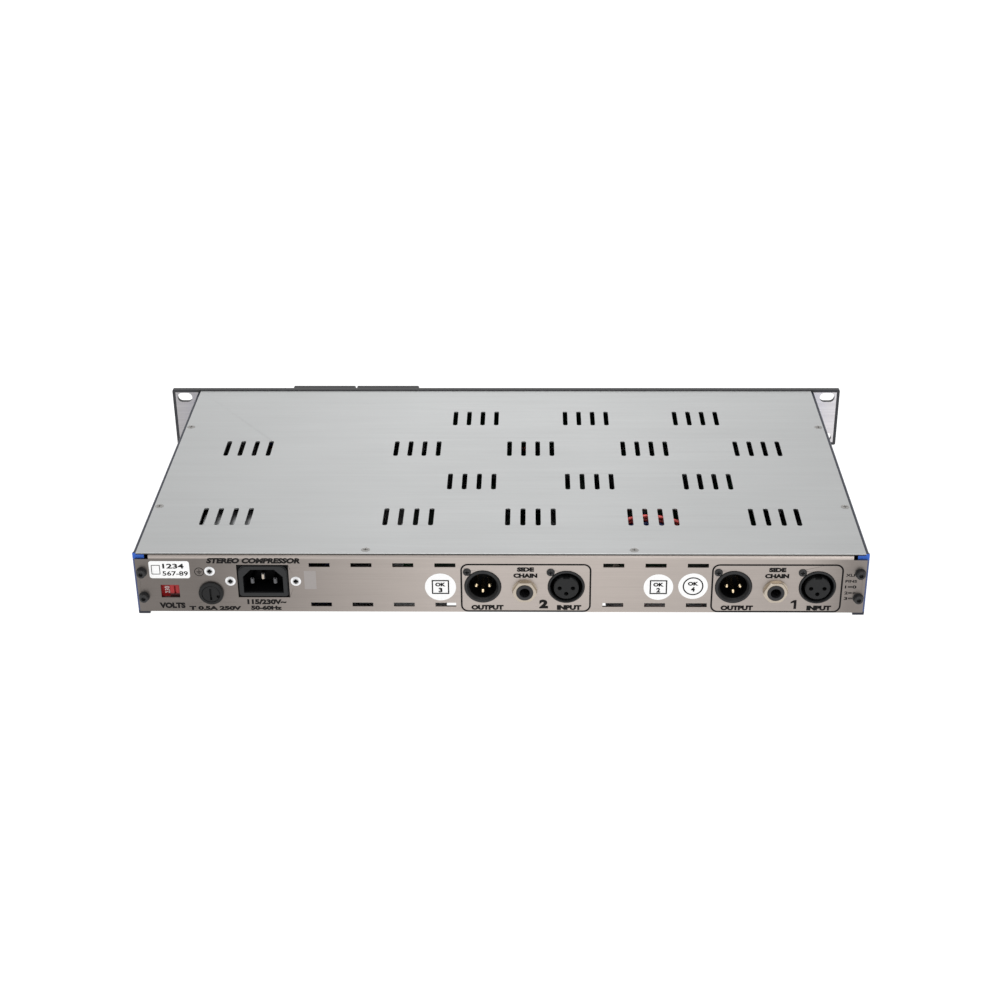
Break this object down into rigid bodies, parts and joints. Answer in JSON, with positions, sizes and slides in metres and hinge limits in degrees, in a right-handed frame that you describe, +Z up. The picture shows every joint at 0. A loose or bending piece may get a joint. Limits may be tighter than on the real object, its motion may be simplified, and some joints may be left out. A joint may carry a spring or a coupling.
{
  "type": "rack compressor",
  "caption": "Rack-mounting audio compressor: black front panel with knobs, buttons and needle meters, blue side rails, brushed cover with vent slots, rear sockets.",
  "frame": {"origin": "middle of the rack hole pattern, on the back of the front panel", "axes": "+X to the right seen from the front, +Y from the front panel to the rear panel, +Z up"},
  "size_m": [0.4826, 0.2604, 0.0447],
  "materials": {
    "front_black": "satin black anodised, bare brushed back",
    "rail_blue": "gloss blue powder coat",
    "brushed_aluminium": "brushed along the width",
    "brushed_steel": "brushed along the width, warm grey",
    "bare_aluminium": "mill finish",
    "zinc_screw": "bright zinc",
    "cover_screw_grey": "dark plated",
    "black_screw": "black oxide",
    "nickel": "bright nickel",
    "gold_pin": "gold plated",
    "shell_black": "fine matt black",
    "insert_grey": "matt dark grey",
    "fuse_black": "semi-gloss",
    "fuse_glass": "clear glass with metal ends",
    "selector_red": "satin red",
    "transformer_tape": "black tape over the winding",
    "board_green": "green solder mask",
    "can_grey": "tinned steel can",
    "part_black": "moulded black",
    "capacitor_sleeve": "dark blue sleeve",
    "pot_metal": "plated steel",
    "lamp_red": "diffused lamp",
    "knob_black": "matt black, fluted",
    "button_cream": "satin cream",
    "meter_black": "matt black",
    "meter_glass": "clear",
    "dial_card": "printed card",
    "needle_black": "matt black",
    "wire_cover": "coloured insulation"
  },
  "bodies": {
    "case": {"front_panel": "front_black", "left_rail": "rail_blue", "right_rail": "rail_blue", "top_cover": "brushed_aluminium", "bottom_plate": "bare_aluminium", "rear_panel": "brushed_steel", "cover_screws": "cover_screw_grey", "front_screws": "black_screw", "rear_panel_screws": "black_screw", "rear_panel_washers": "black_screw", "inlet_body": "shell_black", "inlet_blades": "nickel", "mains_screws": "zinc_screw", "fuse_holder": "fuse_black", "selector_housing": "selector_red", "output_xlr_shells": "shell_black", "output_xlr_pins": "gold_pin", "input_xlr_shells": "shell_black", "input_xlr_inserts": "insert_grey", "xlr_screws": "black_screw", "sidechain_jacks": "part_black", "jack_nuts": "nickel", "mains_transformer": "transformer_tape", "transformer_clamp": "zinc_screw", "power_board": "board_green", "heatsink": "bare_aluminium", "capacitors": "capacitor_sleeve", "main_board": "board_green", "board_standoffs": "nickel", "gain_modules": "part_black", "audio_transformers": "can_grey", "board_chips": "part_black", "control_board": "board_green", "potentiometers": "pot_metal", "pot_nuts": "nickel", "button_switches": "part_black", "indicator_lights": "lamp_red", "power_switch_body": "pot_metal", "meter_cases": "meter_black", "meter_lenses": "meter_glass", "meter_dials": "dial_card", "mains_wires": "wire_cover", "signal_wires": "wire_cover"},
    "fuse_carrier_body": {"fuse_carrier": "part_black", "fuse_link": "fuse_glass"},
    "fuse_cap_body": {"fuse_cap": "fuse_black"},
    "selector_body": {"selector_slider": "selector_red"},
    "toggle_body": {"power_toggle": "nickel"},
    "left_needle_body": {"left_needle": "needle_black"},
    "right_needle_body": {"right_needle": "needle_black"},
    "threshold_knob_body": {"threshold_knob": "knob_black"},
    "attack_knob_body": {"attack_knob": "knob_black"},
    "ratio_knob_body": {"ratio_knob": "knob_black"},
    "release_knob_body": {"release_knob": "knob_black"},
    "link_knob_body": {"link_knob": "knob_black"},
    "gain_knob_body": {"gain_knob": "knob_black"},
    "tilt_button_body": {"tilt_button": "button_cream"},
    "type_button_body": {"type_button": "button_cream"},
    "bypass_button_body": {"bypass_button": "button_cream"},
    "meter_button_body": {"meter_button": "button_cream"}
  },
  "joints": [
    {"name": "fuse_draw", "type": "slide", "parent": "case", "child": "fuse_carrier_body", "axis": [0, 1, 0], "range_m": [0, 0.03]},
    {"name": "fuse_turn", "type": "hinge", "parent": "fuse_carrier_body", "child": "fuse_cap_body", "pos_m": [0.1766, 0.236, -0.007], "axis": [0, 1, 0], "range_deg": [0, 60]},
    {"name": "voltage_select", "type": "slide", "parent": "case", "child": "selector_body", "axis": [1, 0, 0], "range_m": [0, 0.005]},
    {"name": "power_flip", "type": "hinge", "parent": "case", "child": "toggle_body", "pos_m": [0.19, 0, -0.002], "axis": [-1, 0, 0], "range_deg": [0, 25]},
    {"name": "left_meter_swing", "type": "hinge", "parent": "case", "child": "left_needle_body", "pos_m": [0.08545, 0, -0.0085], "axis": [0, 1, 0], "range_deg": [0, 80], "stiffness_Nm_per_rad": 0.001, "springref_deg": -5.73},
    {"name": "right_meter_swing", "type": "hinge", "parent": "case", "child": "right_needle_body", "pos_m": [0.13165, 0, -0.0085], "axis": [0, 1, 0], "range_deg": [0, 80], "stiffness_Nm_per_rad": 0.001, "springref_deg": -5.73},
    {"name": "threshold_turn", "type": "hinge", "parent": "case", "child": "threshold_knob_body", "pos_m": [-0.188, -0.01, 0], "axis": [0, 1, 0], "range_deg": [-150, 150]},
    {"name": "attack_turn", "type": "hinge", "parent": "case", "child": "attack_knob_body", "pos_m": [-0.152, -0.01, 0], "axis": [0, 1, 0], "range_deg": [-150, 150]},
    {"name": "ratio_turn", "type": "hinge", "parent": "case", "child": "ratio_knob_body", "pos_m": [-0.116, -0.01, 0], "axis": [0, 1, 0], "range_deg": [-150, 150]},
    {"name": "release_turn", "type": "hinge", "parent": "case", "child": "release_knob_body", "pos_m": [-0.08, -0.01, 0], "axis": [0, 1, 0], "range_deg": [-150, 150]},
    {"name": "link_turn", "type": "hinge", "parent": "case", "child": "link_knob_body", "pos_m": [-0.044, -0.01, 0], "axis": [0, 1, 0], "range_deg": [-150, 150]},
    {"name": "gain_turn", "type": "hinge", "parent": "case", "child": "gain_knob_body", "pos_m": [0.032, -0.01, 0], "axis": [0, 1, 0], "range_deg": [-150, 150]},
    {"name": "tilt_press", "type": "slide", "parent": "case", "child": "tilt_button_body", "axis": [0, 1, 0], "range_m": [0, 0.0025], "stiffness_N_per_m": 300, "springref_m": -0.001},
    {"name": "type_press", "type": "slide", "parent": "case", "child": "type_button_body", "axis": [0, 1, 0], "range_m": [0, 0.0025], "stiffness_N_per_m": 300, "springref_m": -0.001},
    {"name": "bypass_press", "type": "slide", "parent": "case", "child": "bypass_button_body", "axis": [0, 1, 0], "range_m": [0, 0.0025], "stiffness_N_per_m": 300, "springref_m": -0.001},
    {"name": "meter_press", "type": "slide", "parent": "case", "child": "meter_button_body", "axis": [0, 1, 0], "range_m": [0, 0.0025], "stiffness_N_per_m": 300, "springref_m": -0.001}
  ]
}
